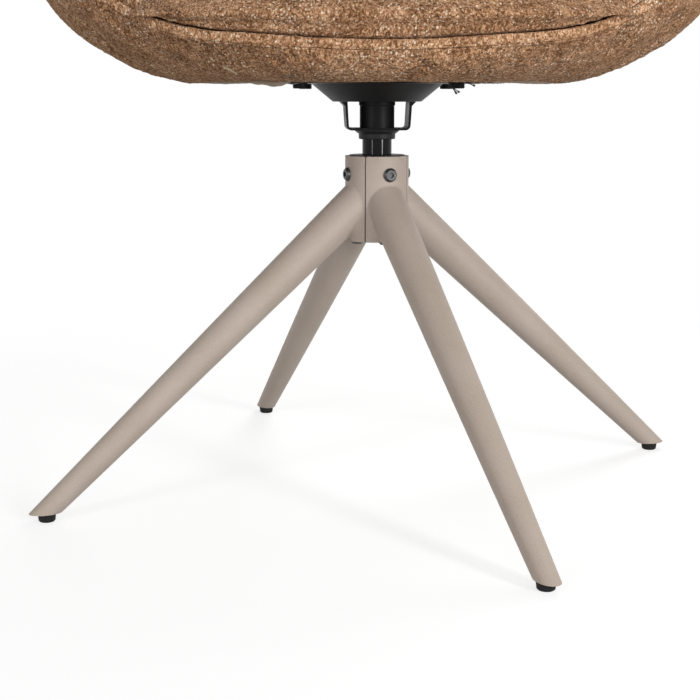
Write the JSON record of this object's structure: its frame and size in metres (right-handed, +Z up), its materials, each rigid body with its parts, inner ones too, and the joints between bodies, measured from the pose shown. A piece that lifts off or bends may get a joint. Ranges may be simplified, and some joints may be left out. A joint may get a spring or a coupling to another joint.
{
  "type": "swivel dining armchair",
  "caption": "Upholstered tub armchair on a swivel post, with a splayed base of tapered round legs and screw-adjustable glides.",
  "frame": {"origin": "on the floor under the middle of the chair, on the swivel axis, in the plane of the four glides", "axes": "+Z up along the swivel axis; the seat looks along -Y at rest; +X to the right of somebody who faces the chair"},
  "size_m": [0.6572, 0.639, 0.815],
  "materials": {
    "powder_coat": "matte fine powder coat, warm taupe",
    "black_steel": "satin black",
    "gloss_black": "gloss black",
    "zinc_steel": "zinc plated",
    "black_plastic": "moulded black nylon",
    "white_plastic": "acetal",
    "chenille": "brown chenille with pale slubs",
    "chenille_band": "the same chenille as a flat welt",
    "plywood": "raw birch plywood",
    "dust_cloth": "black non-woven cloth"
  },
  "bodies": {
    "base": {"leg_front_right": "powder_coat", "leg_front_left": "powder_coat", "leg_back_left": "powder_coat", "leg_back_right": "powder_coat", "foot_plugs": "powder_coat", "hub_core": "zinc_steel", "hub_top_disc": "black_steel", "hub_side_screws": "black_steel", "hub_bottom_screws": "black_steel", "post": "gloss_black", "bearing_race": "zinc_steel", "retaining_washer": "zinc_steel", "retaining_nut": "zinc_steel"},
    "seat": {"swivel_plate": "black_steel", "strap_bracket": "black_steel", "bearing_sleeve": "black_steel", "lower_bush": "black_plastic", "upper_bush": "black_plastic", "thrust_washer": "white_plastic", "mounting_bolts": "black_steel", "tee_nuts": "zinc_steel", "outer_cover": "chenille", "shell_frame": "plywood", "welt_band": "chenille_band", "inner_arm_pad_right": "chenille", "inner_back_pad": "chenille", "inner_arm_pad_left": "chenille", "seat_cushion": "chenille", "seat_board": "plywood", "dust_cover": "dust_cloth"},
    "glide_screw_front_right": {"glide_stud_front_right": "zinc_steel"},
    "glide_front_right": {"glide_foot_front_right": "black_plastic"},
    "glide_screw_front_left": {"glide_stud_front_left": "zinc_steel"},
    "glide_front_left": {"glide_foot_front_left": "black_plastic"},
    "glide_screw_back_left": {"glide_stud_back_left": "zinc_steel"},
    "glide_back_left": {"glide_foot_back_left": "black_plastic"},
    "glide_screw_back_right": {"glide_stud_back_right": "zinc_steel"},
    "glide_back_right": {"glide_foot_back_right": "black_plastic"}
  },
  "joints": [
    {"name": "seat_swivel", "type": "hinge", "parent": "base", "child": "seat", "pos_m": [0, 0, 0.36], "axis": [0, 0, 1], "continuous": true},
    {"name": "glide_height_front_right", "type": "slide", "parent": "base", "child": "glide_screw_front_right", "axis": [0, 0, -1], "range_m": [0, 0.004]},
    {"name": "glide_turn_front_right", "type": "hinge", "parent": "glide_screw_front_right", "child": "glide_front_right", "pos_m": [0.12894, -0.30377, 0], "axis": [0, 0, -1], "range_deg": [0, 1153.1]},
    {"name": "glide_height_front_left", "type": "slide", "parent": "base", "child": "glide_screw_front_left", "axis": [0, 0, -1], "range_m": [0, 0.004]},
    {"name": "glide_turn_front_left", "type": "hinge", "parent": "glide_screw_front_left", "child": "glide_front_left", "pos_m": [-0.30377, -0.12894, 0], "axis": [0, 0, -1], "range_deg": [0, 1153.1]},
    {"name": "glide_height_back_left", "type": "slide", "parent": "base", "child": "glide_screw_back_left", "axis": [0, 0, -1], "range_m": [0, 0.004]},
    {"name": "glide_turn_back_left", "type": "hinge", "parent": "glide_screw_back_left", "child": "glide_back_left", "pos_m": [-0.12894, 0.30377, 0], "axis": [0, 0, -1], "range_deg": [0, 1153.1]},
    {"name": "glide_height_back_right", "type": "slide", "parent": "base", "child": "glide_screw_back_right", "axis": [0, 0, -1], "range_m": [0, 0.004]},
    {"name": "glide_turn_back_right", "type": "hinge", "parent": "glide_screw_back_right", "child": "glide_back_right", "pos_m": [0.30377, 0.12894, 0], "axis": [0, 0, -1], "range_deg": [0, 1153.1]}
  ],
  "couplings": [
    {"joint": "glide_turn_front_right", "follows": "glide_height_front_right", "rad_per_m": 5026.5},
    {"joint": "glide_turn_front_left", "follows": "glide_height_front_left", "rad_per_m": 5026.5},
    {"joint": "glide_turn_back_left", "follows": "glide_height_back_left", "rad_per_m": 5026.5},
    {"joint": "glide_turn_back_right", "follows": "glide_height_back_right", "rad_per_m": 5026.5}
  ]
}
